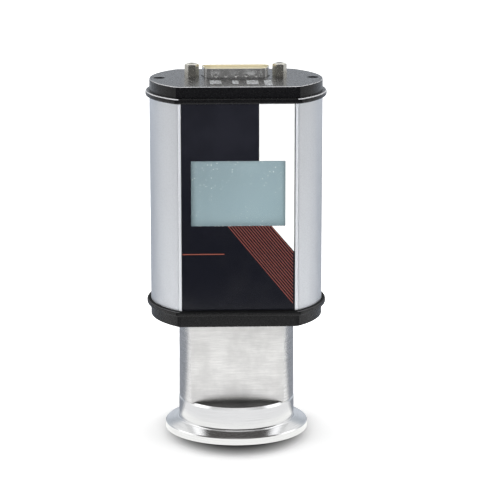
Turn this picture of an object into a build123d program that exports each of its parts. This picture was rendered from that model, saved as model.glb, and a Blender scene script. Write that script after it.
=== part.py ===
from build123d import *
import math
import os

# Pirani vacuum gauge head in millimetres, +Z up, with its display facing -Y.
# The origin is the centre of the clamp flange's sealing face.

os.makedirs("parts", exist_ok=True)

# Clearances that mating pieces share
turned_clearance = 0.05
seat_clearance = 0.1
sheet_clearance = 0.15

# Clamp flange, DN 40
flange_radius = 27.5
flange_rim = 3.0
flange_slope = 15.0
flange_edge_break = 0.3
port_radius = 20.6
neck_radius = 22.25
neck_top = 13.15
neck_roof = 3.0
neck_foot_fillet = 0.8
neck_chamfer = 0.85

# Sensor sleeve
sleeve_radius = 22.1
sleeve_flat = 13.2
sleeve_length = 32.5
spigot_radius = 12.9
sensor_bore_radius = 10.5
header_radius = 11.9
collar_radius = 13.1
collar_rise = 1.0

# Sensor inside the sleeve
header_depth = 7.65
header_thickness = 2.5
header_pin_radius = 0.5
header_pin_rise = 6.6
header_pin_drop = 3.0
glass_bead_radius = 1.4
support_pin_x = 6.0
reference_pin_x = -5.0
reference_pin_y = 3.5
reference_pin_drop = 5.0
reference_radius = 1.0
filament_radius = 0.1
filament_foot_height = 4.0
screen_radius = 11.5
screen_thickness = 0.5
screen_hole_radius = 2.1
screen_ring_radius = 6.4
screen_ring_holes = 6

# Housing extrusion
housing_radius = 32.8
housing_flat = 24.0
housing_length = 78.4
housing_corner_fillet = 0.9
side_wall = 2.2
front_wall = 2.0
recess_depth = 0.8
recess_half_width = 21.2
guide_rib = 1.2
guide_reach = 1.9

# End caps
cap_corner_facet = 0.8
ridge_height = 2.05
ridge_reach = 1.5
ridge_rounding = 0.7
cap_wall_height = 4.3
cap_edge_rounding = 0.35
cap_wall = 4.4
top_roof = 2.1
bottom_floor = 3.0
tongue_width = 32.0
tongue_thickness = 1.8
tongue_depth = 3.0

# Cap screws
cap_screw_x = 29.0
cap_screw_radius = 1.2
cap_screw_length = 11.0
cap_screw_head_radius = 2.05
cap_screw_head_height = 1.8
cap_screw_drive = 0.9
cap_screw_drive_depth = 1.1
screw_recess_radius = 2.2
screw_recess_depth = 3.0
screw_boss_radius = 3.1

# Screws between the sleeve and the bottom cap
sleeve_screw_x = 17.0
sleeve_screw_y = 7.0
sleeve_screw_radius = 1.45
sleeve_screw_grip = 7.0
sleeve_screw_head_radius = 2.4
sleeve_screw_head_height = 2.0

# Front label and what is printed on it
label_half_width = 20.9
label_thickness = 0.25
label_end_gap = 0.15
ink_thickness = 0.06
window_width = 35.1
window_height = 24.6
window_rise = 44.6
white_left = 7.8
white_foot_rise = 22.5
white_corner_x = 12.5
stripe_count = 15
stripe_pitch = 1.13
stripe_width = 0.48
stripe_start_x = -4.0
stripe_slope = 50.7
stripe_edge_gap = 0.35
rule_rise = 21.6
rule_thickness = 0.38
rule_right = -5.2

# Display
pane_margin = 0.25
lcd_width = 37.4
lcd_height = 27.4
lcd_thickness = 2.8
lcd_frame_wall = 1.8
display_board_height = 37.0

# Circuit boards
board_thickness = 1.6
main_board_y = 9.0
main_board_margin = 1.4
sensor_board_rise = 3.0
connector_board_width = 42.0
connector_board_depth = 16.0
link_width = 10.0
link_depth = 2.5
link_overlap = 6.0
chip_size = 10.0
chip_thickness = 1.2
chip_rise = 46.0
capacitor_radius = 4.0
capacitor_length = 11.0
capacitor_pitch = 11.0
capacitor_rise = 22.0
regulator_width = 10.0
regulator_height = 14.0
regulator_thickness = 4.5
regulator_drop = 16.4
regulator_x = 18.0

# Fifteen-way plug and its jack posts
plug_y = 3.8
plug_width = 25.6
plug_depth = 9.1
plug_corner = 2.6
plug_taper = 10.0
plug_rise = 3.85
plug_sheet = 0.45
plug_flange_width = 39.1
plug_flange_depth = 12.5
plug_flange_thickness = 0.8
plug_cavity_depth = 5.0
insulator_drop = 5.0
plug_cutout_margin = 0.3
dent_radius = 0.85
dent_depth = 0.3
dent_pitch = 3.8
dent_count = 5
pin_radius = 0.5
pin_pitch = 2.77
pin_row_spacing = 2.84
pin_tip_drop = 0.9
post_spacing = 33.3
post_across_flats = 4.76
post_height = 5.0
post_crown = 0.5
post_bore_radius = 1.15
post_bore_depth = 4.0
post_stud_radius = 1.4
nut_across_flats = 6.35
nut_thickness = 2.4

# Levels along Z
cap_seat = neck_top + sleeve_length
housing_base = cap_seat + cap_wall_height + ridge_height
housing_top = housing_base + housing_length
cap_height = ridge_height + cap_wall_height
cap_top = housing_top + cap_height
spigot_base = neck_top - neck_roof
header_base = cap_seat - header_depth
header_top = header_base + header_thickness
sensor_board_base = header_top + sensor_board_rise
sensor_board_top = sensor_board_base + board_thickness
plug_flange_top = cap_top - top_roof
plug_flange_base = plug_flange_top - plug_flange_thickness
insulator_base = plug_flange_base - insulator_drop
plug_rim = cap_top + plug_rise
connector_board_base = insulator_base - board_thickness
window_centre = housing_base + window_rise
main_board_length = housing_length - 2 * sheet_clearance

# Depths along Y, from the front backwards
recess_floor = -(housing_flat - recess_depth)
front_inner = recess_floor + front_wall
label_front = recess_floor - label_thickness
display_board_front = front_inner + seat_clearance + lcd_thickness
main_board_front = main_board_y - board_thickness / 2
main_board_back = main_board_y + board_thickness / 2
inner_radius = housing_radius - side_wall
back_inner = housing_flat - side_wall

top_seat = Plane.XY.offset(housing_top)
bottom_seat = Plane(origin=(0, 0, housing_base), x_dir=(1, 0, 0), z_dir=(0, 0, -1))
label_plane = Plane(origin=(0, label_front, housing_base), x_dir=(1, 0, 0), z_dir=(0, -1, 0))


def front_plane(y, z=0.0):
    """Plane across the front, seen from -Y, with its local Y upwards."""
    return Plane(origin=(0, y, z), x_dir=(1, 0, 0), z_dir=(0, -1, 0))


def half_chord(radius, distance):
    """Half the chord of a circle at a distance from its centre."""
    return math.sqrt(radius**2 - distance**2)


def truncated_disc(radius, flat):
    """Disc cut by a front flat and a back flat."""
    with BuildSketch() as outline:
        Circle(radius)
        Rectangle(2 * radius, 2 * flat, mode=Mode.INTERSECT)
    return outline.sketch


def plug_outline(width, depth, corner):
    """Shell of the plug in plan, with its wide side at the back."""
    tip = corner * (1 / math.tan(math.radians(45 - plug_taper / 2)) - 1)
    wide = width / 2 + tip
    narrow = wide - depth * math.tan(math.radians(plug_taper))
    with BuildSketch() as outline:
        with BuildLine():
            Polyline(
                (-narrow, -depth / 2),
                (narrow, -depth / 2),
                (wide, depth / 2),
                (-wide, depth / 2),
                close=True,
            )
        make_face()
        fillet(outline.vertices(), corner)
    return outline.sketch


def card_guides(front, back):
    """Ribs along both side walls, one pair each side of a board's slot."""
    nearest = min(abs(front), abs(back))
    reach = half_chord(inner_radius, max(abs(front), abs(back))) - guide_reach
    with BuildSketch() as ribs:
        with Locations((0, front - guide_rib / 2), (0, back + guide_rib / 2)):
            Rectangle(2 * half_chord(housing_radius - side_wall / 2, nearest), guide_rib)
        Rectangle(2 * reach, 4 * housing_radius, mode=Mode.SUBTRACT)
        Circle(housing_radius - side_wall / 2, mode=Mode.INTERSECT)
    return ribs.sketch


def finish(piece, name):
    """Label the finished piece and write it under its own name."""
    piece.part.label = name
    export_step(piece.part, "parts/" + name + ".step")


# Clamp flange: rim, 15 degree slope, neck ring and a bore that narrows at its roof
slope_top = flange_rim + (flange_radius - neck_radius) * math.tan(math.radians(flange_slope))
with BuildPart() as flange_body:
    with BuildSketch(Plane.XZ):
        with BuildLine():
            Polyline(
                (port_radius, 0),
                (flange_radius, 0),
                (flange_radius, flange_rim),
                (neck_radius, slope_top),
                (neck_radius, neck_top),
                (spigot_radius + turned_clearance, neck_top),
                (spigot_radius + turned_clearance, spigot_base),
                (port_radius, spigot_base),
                close=True,
            )
        make_face()
    revolve(axis=Axis.Z)
    circles = flange_body.edges().filter_by(GeomType.CIRCLE)
    rim_edges = circles.filter_by(lambda edge: abs(edge.radius - flange_radius) < 0.01)
    chamfer(rim_edges, flange_edge_break)
    neck_edges = flange_body.edges().filter_by(GeomType.CIRCLE).filter_by(
        lambda edge: abs(edge.radius - neck_radius) < 0.01
    )
    fillet(neck_edges.sort_by(Axis.Z)[0], neck_foot_fillet)
    chamfer(flange_body.edges().group_by(Axis.Z)[-1].sort_by(SortBy.RADIUS)[-1], neck_chamfer)
finish(flange_body, "flange_body")

# Perforated disc at the mouth of the sensor bore
with BuildPart() as port_screen:
    with BuildSketch(Plane.XY.offset(spigot_base)):
        Circle(screen_radius)
        Circle(screen_hole_radius, mode=Mode.SUBTRACT)
        with PolarLocations(screen_ring_radius, screen_ring_holes):
            Circle(screen_hole_radius, mode=Mode.SUBTRACT)
    extrude(amount=screen_thickness)
finish(port_screen, "port_screen")

# Sensor sleeve: round block with two milled flats, a spigot below and a collar above
sleeve_screw_places = [
    (x, y) for x in (-sleeve_screw_x, sleeve_screw_x) for y in (-sleeve_screw_y, sleeve_screw_y)
]
with BuildPart() as sensor_sleeve:
    with BuildSketch(Plane.XY.offset(neck_top)):
        add(truncated_disc(sleeve_radius, sleeve_flat))
    extrude(amount=sleeve_length)
    with BuildSketch(Plane.XY.offset(spigot_base)):
        Circle(spigot_radius)
    extrude(amount=neck_roof)
    with BuildSketch(Plane.XY.offset(cap_seat)):
        Circle(collar_radius)
    extrude(amount=bottom_floor + collar_rise)
    with BuildSketch(Plane.XY.offset(spigot_base)):
        Circle(screen_radius + turned_clearance)
    extrude(amount=screen_thickness, mode=Mode.SUBTRACT)
    with BuildSketch(Plane.XY.offset(spigot_base)):
        Circle(sensor_bore_radius)
    extrude(amount=header_base - spigot_base, mode=Mode.SUBTRACT)
    with BuildSketch(Plane.XY.offset(header_base)):
        Circle(header_radius + turned_clearance)
    extrude(amount=header_depth + bottom_floor + collar_rise, mode=Mode.SUBTRACT)
    with BuildSketch(Plane.XY.offset(cap_seat)):
        with Locations(*sleeve_screw_places):
            Circle(sleeve_screw_radius + turned_clearance)
    extrude(amount=-sleeve_screw_grip - 1, mode=Mode.SUBTRACT)
finish(sensor_sleeve, "sensor_sleeve")

# Vacuum-tight header with glass-sealed pins
header_pin_places = {
    "centre": (0, 0),
    "support": (support_pin_x, 0),
    "reference_left": (reference_pin_x, -reference_pin_y),
    "reference_right": (reference_pin_x, reference_pin_y),
}
with BuildPart() as sensor_header:
    with BuildSketch(Plane.XY.offset(header_base)):
        Circle(header_radius)
        with Locations(*header_pin_places.values()):
            Circle(glass_bead_radius + turned_clearance, mode=Mode.SUBTRACT)
    extrude(amount=header_thickness)
finish(sensor_header, "sensor_header")

with BuildPart() as header_glass_beads:
    with BuildSketch(Plane.XY.offset(header_base)):
        with Locations(*header_pin_places.values()):
            Circle(glass_bead_radius)
            Circle(header_pin_radius + turned_clearance, mode=Mode.SUBTRACT)
    extrude(amount=header_thickness)
finish(header_glass_beads, "header_glass_beads")

with BuildPart() as header_pins:
    for place, (pin_x, pin_y) in header_pin_places.items():
        drop = reference_pin_drop if place.startswith("reference") else header_pin_drop
        with BuildSketch(Plane.XY.offset(header_base - drop)):
            with Locations((pin_x, pin_y)):
                Circle(header_pin_radius)
        extrude(amount=drop + header_thickness + header_pin_rise)
finish(header_pins, "header_pins")

# Bent wire from the support pin down and across to the axis
support_top = header_base - header_pin_drop
support_foot = neck_top + filament_foot_height
with BuildPart() as filament_support:
    with BuildLine():
        FilletPolyline(
            (support_pin_x, 0, support_top),
            (support_pin_x, 0, support_foot),
            (-header_pin_radius, 0, support_foot),
            radius=3 * header_pin_radius,
        )
    with BuildSketch(Plane(origin=(support_pin_x, 0, support_top), z_dir=(0, 0, -1))):
        Circle(header_pin_radius)
    sweep()
finish(filament_support, "filament_support")

with BuildPart() as filament:
    filament_base = support_foot + header_pin_radius
    with BuildSketch(Plane.XY.offset(filament_base)):
        Circle(filament_radius)
    extrude(amount=support_top - filament_base)
finish(filament, "filament")

# Reference resistor between the two rear pins
reference_length = 2 * (reference_pin_y - header_pin_radius - turned_clearance)
with BuildPart() as reference_element:
    with BuildSketch(Plane.XZ.offset(-reference_length / 2)):
        with Locations((reference_pin_x, header_base - reference_pin_drop + reference_radius)):
            Circle(reference_radius)
    extrude(amount=reference_length)
    chamfer(reference_element.edges().filter_by(GeomType.CIRCLE), reference_radius / 4)
finish(reference_element, "reference_element")

# Round board above the header
with BuildPart() as sensor_board:
    with BuildSketch(Plane.XY.offset(sensor_board_base)):
        Circle(header_radius - sheet_clearance)
        with Locations(*header_pin_places.values()):
            Circle(header_pin_radius + turned_clearance, mode=Mode.SUBTRACT)
    extrude(amount=board_thickness)
finish(sensor_board, "sensor_board")


def cap_body(seat, roof):
    """Moulded end cap on its seat plane, whose normal points away from the housing."""
    with BuildPart() as cap:
        with BuildSketch(seat):
            add(truncated_disc(housing_radius + ridge_reach, housing_flat + ridge_reach))
        extrude(amount=ridge_height)
        chamfer(cap.edges().filter_by(Axis.Z), cap_corner_facet)
        fillet(cap.edges().filter_by(Axis.Z, reverse=True), ridge_rounding)
        with BuildSketch(seat.offset(ridge_height)):
            add(truncated_disc(housing_radius, housing_flat))
        wall = extrude(amount=cap_wall_height, mode=Mode.PRIVATE)
        add(wall.chamfer(cap_corner_facet, None, wall.edges().filter_by(Axis.Z)))
        outer_face = cap.faces().filter_by(Axis.Z).sort_by(
            lambda face: (face.center() - seat.origin).dot(seat.z_dir)
        )[-1]
        fillet(outer_face.outer_wire().edges(), cap_edge_rounding)
        with BuildSketch(seat):
            add(truncated_disc(housing_radius - cap_wall, housing_flat - cap_wall))
        extrude(amount=cap_height - roof, mode=Mode.SUBTRACT)
        with BuildSketch(seat):
            with Locations((-cap_screw_x, 0), (cap_screw_x, 0)):
                Circle(screw_boss_radius)
        extrude(amount=cap_height - roof)
        tongue_y = back_inner - sheet_clearance - tongue_thickness / 2
        front_tongue_y = -front_inner - sheet_clearance - tongue_thickness / 2
        with BuildSketch(seat):
            with Locations((0, seat.z_dir.Z * tongue_y), (0, -seat.z_dir.Z * front_tongue_y)):
                Rectangle(tongue_width, tongue_thickness)
        extrude(amount=-tongue_depth)
        with BuildSketch(seat):
            with Locations((-cap_screw_x, 0), (cap_screw_x, 0)):
                Circle(cap_screw_radius + turned_clearance)
        extrude(amount=cap_height, mode=Mode.SUBTRACT)
        with BuildSketch(seat.offset(cap_height)):
            with Locations((-cap_screw_x, 0), (cap_screw_x, 0)):
                Circle(screw_recess_radius)
        extrude(amount=-screw_recess_depth, mode=Mode.SUBTRACT)
    return cap.part


def cap_screw_pair(seat):
    """Two socket screws in the recesses of a cap, reaching into the housing's screw ports."""
    bearing = cap_height - screw_recess_depth
    with BuildPart() as screws:
        with BuildSketch(seat.offset(bearing)):
            with Locations((-cap_screw_x, 0), (cap_screw_x, 0)):
                Circle(cap_screw_head_radius)
        extrude(amount=cap_screw_head_height)
        with BuildSketch(seat.offset(bearing)):
            with Locations((-cap_screw_x, 0), (cap_screw_x, 0)):
                Circle(cap_screw_radius)
        extrude(amount=-cap_screw_length)
        with BuildSketch(seat.offset(bearing + cap_screw_head_height)):
            with Locations((-cap_screw_x, 0), (cap_screw_x, 0)):
                RegularPolygon(cap_screw_drive, 6)
        extrude(amount=-cap_screw_drive_depth, mode=Mode.SUBTRACT)
    return screws.part


# Bottom cap, with a hole for the sleeve's collar and four screw holes round it
with BuildPart() as bottom_cap:
    add(cap_body(bottom_seat, bottom_floor))
    with BuildSketch(Plane.XY.offset(cap_seat)):
        Circle(collar_radius + seat_clearance)
        with Locations(*sleeve_screw_places):
            Circle(sleeve_screw_radius + seat_clearance)
    extrude(amount=bottom_floor, mode=Mode.SUBTRACT)
finish(bottom_cap, "bottom_cap")

with BuildPart() as bottom_cap_screws:
    add(cap_screw_pair(bottom_seat))
finish(bottom_cap_screws, "bottom_cap_screws")

# Screws down through the bottom cap's floor into the sleeve
with BuildPart() as sleeve_screws:
    with BuildSketch(Plane.XY.offset(cap_seat + bottom_floor)):
        with Locations(*sleeve_screw_places):
            Circle(sleeve_screw_head_radius)
    extrude(amount=sleeve_screw_head_height)
    with BuildSketch(Plane.XY.offset(cap_seat + bottom_floor)):
        with Locations(*sleeve_screw_places):
            Circle(sleeve_screw_radius)
    extrude(amount=-bottom_floor - sleeve_screw_grip)
finish(sleeve_screws, "sleeve_screws")

# Housing extrusion: one section with lips, screw ports and card guides, and the display opening
pane_width = window_width + 2 * pane_margin
pane_height = window_height + 2 * pane_margin
display_slot_front = display_board_front - seat_clearance
display_slot_back = display_board_front + board_thickness + seat_clearance
main_slot_front = main_board_front - seat_clearance
main_slot_back = main_board_back + seat_clearance
with BuildPart() as housing_extrusion:
    with BuildSketch(Plane.XY.offset(housing_base)) as section:
        add(truncated_disc(housing_radius, housing_flat))
        fillet(section.vertices(), housing_corner_fillet)
        with Locations((0, -housing_flat)):
            Rectangle(2 * recess_half_width, 2 * recess_depth, mode=Mode.SUBTRACT)
        with BuildSketch(mode=Mode.PRIVATE) as cavity:
            Circle(inner_radius)
            with Locations((0, (back_inner + front_inner) / 2)):
                Rectangle(2 * inner_radius, back_inner - front_inner, mode=Mode.INTERSECT)
        add(cavity.sketch, mode=Mode.SUBTRACT)
        with Locations((-cap_screw_x, 0), (cap_screw_x, 0)):
            Circle(screw_boss_radius)
        add(card_guides(display_slot_front, display_slot_back))
        add(card_guides(main_slot_front, main_slot_back))
        with Locations((-cap_screw_x, 0), (cap_screw_x, 0)):
            Circle(cap_screw_radius + turned_clearance, mode=Mode.SUBTRACT)
    extrude(amount=housing_length)
    with BuildSketch(front_plane(recess_floor, window_centre)):
        Rectangle(pane_width + 2 * seat_clearance, pane_height + 2 * seat_clearance)
    extrude(amount=-front_wall, mode=Mode.SUBTRACT)
finish(housing_extrusion, "housing_extrusion")

# Film label with its window, and the thin fields of ink on it
label_length = housing_length - 2 * label_end_gap
window_foot = window_rise - window_height / 2
window_head = window_rise + window_height / 2
with BuildPart() as front_label:
    with BuildSketch(front_plane(recess_floor, housing_base)):
        with Locations((0, housing_length / 2)):
            Rectangle(2 * label_half_width, label_length)
        with Locations((0, window_rise)):
            Rectangle(window_width, window_height, mode=Mode.SUBTRACT)
    extrude(amount=label_thickness)
finish(front_label, "front_label")

with BuildPart() as label_white_field:
    with BuildSketch(label_plane):
        Polygon(
            (white_left, label_end_gap + label_length),
            (white_left, window_head),
            (window_width / 2, window_head),
            (window_width / 2, window_foot),
            (white_corner_x, window_foot),
            (label_half_width, white_foot_rise),
            (label_half_width, label_end_gap + label_length),
            align=None,
        )
    extrude(amount=ink_thickness)
finish(label_white_field, "label_white_field")

# Fifteen thin slanting lines from the window's foot to the label's right edge
stripe_fall = math.tan(math.radians(stripe_slope))
stripe_end_x = label_half_width - stripe_edge_gap
with BuildPart() as label_stripes:
    with BuildSketch(label_plane):
        for stripe in range(stripe_count):
            left = stripe_start_x + stripe * stripe_pitch
            right = left + stripe_width
            Polygon(
                (left, window_foot),
                (stripe_end_x, window_foot - (stripe_end_x - left) * stripe_fall),
                (stripe_end_x, window_foot - (stripe_end_x - right) * stripe_fall),
                (right, window_foot),
                align=None,
            )
    extrude(amount=ink_thickness)
finish(label_stripes, "label_stripes")

with BuildPart() as label_rule:
    with BuildSketch(label_plane):
        with Locations(((rule_right - label_half_width) / 2, rule_rise)):
            Rectangle(rule_right + label_half_width, rule_thickness)
    extrude(amount=ink_thickness)
finish(label_rule, "label_rule")

# Display: clear pane in the front wall, glass panel, its frame and its board
with BuildPart() as display_window:
    with BuildSketch(front_plane(recess_floor, window_centre)):
        Rectangle(pane_width, pane_height)
    extrude(amount=-front_wall)
finish(display_window, "display_window")

with BuildPart() as lcd_panel:
    with BuildSketch(front_plane(display_board_front, window_centre)):
        Rectangle(lcd_width, lcd_height)
    extrude(amount=lcd_thickness)
finish(lcd_panel, "lcd_panel")

with BuildPart() as lcd_frame:
    with BuildSketch(front_plane(display_board_front, window_centre)):
        Rectangle(lcd_width + 2 * lcd_frame_wall, lcd_height + 2 * lcd_frame_wall)
        Rectangle(lcd_width + 2 * seat_clearance, lcd_height + 2 * seat_clearance, mode=Mode.SUBTRACT)
    extrude(amount=lcd_thickness)
finish(lcd_frame, "lcd_frame")

display_board_width = 2 * (half_chord(inner_radius, display_board_front) - seat_clearance)
with BuildPart() as display_board:
    with BuildSketch(front_plane(display_board_front, window_centre)):
        Rectangle(display_board_width, display_board_height)
    extrude(amount=-board_thickness)
finish(display_board, "display_board")

# Main board in the rear card guides, standing on the bottom cap's wall
main_board_width = 2 * (half_chord(inner_radius, main_board_back) - seat_clearance)
with BuildPart() as main_board:
    with BuildSketch(front_plane(main_board_front, housing_base + housing_length / 2)):
        Rectangle(main_board_width, main_board_length)
    extrude(amount=-board_thickness)
finish(main_board, "main_board")

with BuildPart() as microcontroller:
    with BuildSketch(front_plane(main_board_front, housing_base + chip_rise)):
        Rectangle(chip_size, chip_size)
    extrude(amount=chip_thickness)
finish(microcontroller, "microcontroller")

with BuildPart() as capacitors:
    with BuildSketch(front_plane(main_board_front, housing_base + capacitor_rise)):
        with GridLocations(capacitor_pitch, 1, 3, 1):
            Circle(capacitor_radius)
    extrude(amount=capacitor_length)
finish(capacitors, "capacitors")

with BuildPart() as voltage_regulator:
    with BuildSketch(front_plane(main_board_front, housing_top - regulator_drop)):
        with Locations((regulator_x, 0)):
            Rectangle(regulator_width, regulator_height)
    extrude(amount=regulator_thickness)
finish(voltage_regulator, "voltage_regulator")

# Header that joins the sensor board to the foot of the main board
link_top = housing_base + sheet_clearance + link_overlap
with BuildPart() as board_link:
    with BuildSketch(Plane.XY.offset(sensor_board_top)):
        with Locations((0, main_board_front - link_depth / 2)):
            Rectangle(link_width, link_depth)
    extrude(amount=link_top - sensor_board_top)
finish(board_link, "board_link")

# Top cap, cut for the plug and its two posts
post_places = [(-post_spacing / 2, plug_y), (post_spacing / 2, plug_y)]
plug_cut_width = plug_width + 2 * plug_cutout_margin
plug_cut_depth = plug_depth + 2 * plug_cutout_margin
with BuildPart() as top_cap:
    add(cap_body(top_seat, top_roof))
    with BuildSketch(Plane.XY.offset(cap_top)):
        with Locations((0, plug_y)):
            add(plug_outline(plug_cut_width, plug_cut_depth, plug_corner + plug_cutout_margin))
        with Locations(*post_places):
            Circle(post_stud_radius + seat_clearance)
    extrude(amount=-top_roof, mode=Mode.SUBTRACT)
finish(top_cap, "top_cap")

with BuildPart() as top_cap_screws:
    add(cap_screw_pair(top_seat))
finish(top_cap_screws, "top_cap_screws")

# Plug shell: drawn from one sheet with its flange, and dented along both long sides
inner_width = plug_width - 2 * plug_sheet
inner_depth = plug_depth - 2 * plug_sheet
inner_corner = plug_corner - plug_sheet
dent_places = [
    ((step - (dent_count - 1) / 2) * dent_pitch, plug_y + side * (plug_depth / 2 + dent_radius - dent_depth))
    for step in range(dent_count)
    for side in (-1, 1)
]
with BuildPart() as dsub_shell:
    with BuildSketch(Plane.XY.offset(plug_flange_base)):
        with Locations((0, plug_y)):
            RectangleRounded(plug_flange_width, plug_flange_depth, plug_flange_depth / 8)
    extrude(amount=plug_flange_thickness)
    with BuildSketch(Plane.XY.offset(plug_flange_base)):
        with Locations((0, plug_y)):
            add(plug_outline(plug_width, plug_depth, plug_corner))
    extrude(amount=plug_rim - plug_flange_base)
    with BuildSketch(Plane.XY.offset(plug_flange_base)):
        with Locations((0, plug_y)):
            add(plug_outline(inner_width, inner_depth, inner_corner))
        with Locations(*post_places):
            Circle(post_stud_radius + seat_clearance)
    extrude(amount=plug_rim - plug_flange_base, mode=Mode.SUBTRACT)
    with Locations(*[(x, y, cap_top + dent_radius) for x, y in dent_places]):
        Sphere(dent_radius, mode=Mode.SUBTRACT)
finish(dsub_shell, "dsub_shell")

# Insulator block with a hole for each pin
insulator_width = inner_width - 2 * seat_clearance
insulator_depth = inner_depth - 2 * seat_clearance
insulator_top = plug_rim - plug_cavity_depth


def pin_places(radius):
    """Fifteen discs in two staggered rows, the longer row at the back."""
    with BuildSketch() as discs:
        with Locations((0, plug_y + pin_row_spacing / 2)):
            with GridLocations(pin_pitch, 1, 8, 1):
                Circle(radius)
        with Locations((0, plug_y - pin_row_spacing / 2)):
            with GridLocations(pin_pitch, 1, 7, 1):
                Circle(radius)
    return discs.sketch


with BuildPart() as dsub_insulator:
    with BuildSketch(Plane.XY.offset(insulator_base)):
        with Locations((0, plug_y)):
            add(plug_outline(insulator_width, insulator_depth, inner_corner - seat_clearance))
        add(pin_places(pin_radius + turned_clearance), mode=Mode.SUBTRACT)
    extrude(amount=insulator_top - insulator_base)
finish(dsub_insulator, "dsub_insulator")

with BuildPart() as dsub_pins:
    with BuildSketch(Plane.XY.offset(connector_board_base + board_thickness)):
        add(pin_places(pin_radius))
    extrude(amount=plug_rim - pin_tip_drop - connector_board_base - board_thickness)
finish(dsub_pins, "dsub_pins")

# Small board that the pins are soldered to, reaching back to the main board
with BuildPart() as connector_board:
    with BuildSketch(Plane.XY.offset(connector_board_base)):
        with Locations((0, main_board_front - sheet_clearance - connector_board_depth / 2)):
            Rectangle(connector_board_width, connector_board_depth)
    extrude(amount=board_thickness)
finish(connector_board, "connector_board")


def jack_post():
    """Hexagonal post with a turned crown, a threaded socket and a stud below."""
    corner_radius = post_across_flats / math.sqrt(3)
    with BuildPart() as post:
        with BuildSketch(Plane.XY.offset(cap_top)):
            RegularPolygon(post_across_flats / 2, 6, major_radius=False)
        extrude(amount=post_height)
        with BuildSketch(Plane.XZ):
            with BuildLine():
                Polyline(
                    (0, cap_top),
                    (corner_radius, cap_top),
                    (corner_radius, cap_top + post_height - post_crown),
                    (corner_radius - 2 * post_crown, cap_top + post_height),
                    (0, cap_top + post_height),
                    close=True,
                )
            make_face()
        revolve(axis=Axis.Z, mode=Mode.INTERSECT)
        with BuildSketch(Plane.XY.offset(plug_flange_base - nut_thickness)):
            Circle(post_stud_radius)
        extrude(amount=top_roof + plug_flange_thickness + nut_thickness)
        with BuildSketch(Plane.XY.offset(cap_top + post_height)):
            Circle(post_bore_radius)
        extrude(amount=-post_bore_depth, mode=Mode.SUBTRACT)
    return post.part


with BuildPart() as jack_posts:
    with Locations(*post_places):
        add(jack_post())
finish(jack_posts, "jack_posts")

with BuildPart() as jack_nuts:
    with BuildSketch(Plane.XY.offset(plug_flange_base)):
        with Locations(*post_places):
            RegularPolygon(nut_across_flats / 2, 6, major_radius=False)
            Circle(post_stud_radius + turned_clearance, mode=Mode.SUBTRACT)
    extrude(amount=-nut_thickness)
finish(jack_nuts, "jack_nuts")
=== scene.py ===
import math

import bmesh
import bpy
from bpy.props import FloatProperty, FloatVectorProperty, IntProperty, PointerProperty
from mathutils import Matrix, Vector


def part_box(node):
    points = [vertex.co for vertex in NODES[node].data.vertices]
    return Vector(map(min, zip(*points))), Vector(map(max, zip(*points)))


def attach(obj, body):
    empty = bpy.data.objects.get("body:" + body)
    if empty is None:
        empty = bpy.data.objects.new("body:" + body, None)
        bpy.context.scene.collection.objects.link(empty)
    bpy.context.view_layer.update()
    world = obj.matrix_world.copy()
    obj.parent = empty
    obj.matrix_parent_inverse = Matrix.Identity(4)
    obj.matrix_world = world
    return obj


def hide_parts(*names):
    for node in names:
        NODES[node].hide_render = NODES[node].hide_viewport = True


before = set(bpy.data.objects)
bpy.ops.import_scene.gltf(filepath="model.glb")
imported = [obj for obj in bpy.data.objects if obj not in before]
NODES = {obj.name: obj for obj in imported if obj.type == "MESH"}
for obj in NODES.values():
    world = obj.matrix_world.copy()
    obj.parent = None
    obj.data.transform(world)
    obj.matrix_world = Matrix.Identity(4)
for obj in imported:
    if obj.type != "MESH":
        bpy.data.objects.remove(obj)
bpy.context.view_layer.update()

bl_info = {
    "name": "Pirani vacuum gauge",
    "version": (1, 0, 0),
    "blender": (4, 5, 0),
    "location": "3D View > Sidebar > Gauge",
    "description": "Finishes, fine pieces and studio for a pirani vacuum gauge with a display",
    "category": "Object",
}

MM = 0.001
SMOOTH_ANGLE = math.radians(35.0)
SENSOR_WIDTH = 36.0
FLOOR_SIZE = 6.0
FLOOR_DROP = 0.1 * MM
CARD_STEPS = 36


# Sizes and colours that a user would change

def colour(name, description, value):
    return FloatVectorProperty(
        name=name, description=description, default=value, subtype="COLOR", size=3, min=0.0, max=1.0
    )


def length(name, description, value):
    return FloatProperty(
        name=name, description=description, default=value, subtype="DISTANCE", unit="LENGTH"
    )


def position(name, description, value):
    return FloatVectorProperty(
        name=name, description=description, default=value, subtype="TRANSLATION", unit="LENGTH"
    )


def watts(name, description, value):
    return FloatProperty(name=name, description=description, default=value, subtype="POWER", unit="POWER")


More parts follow.
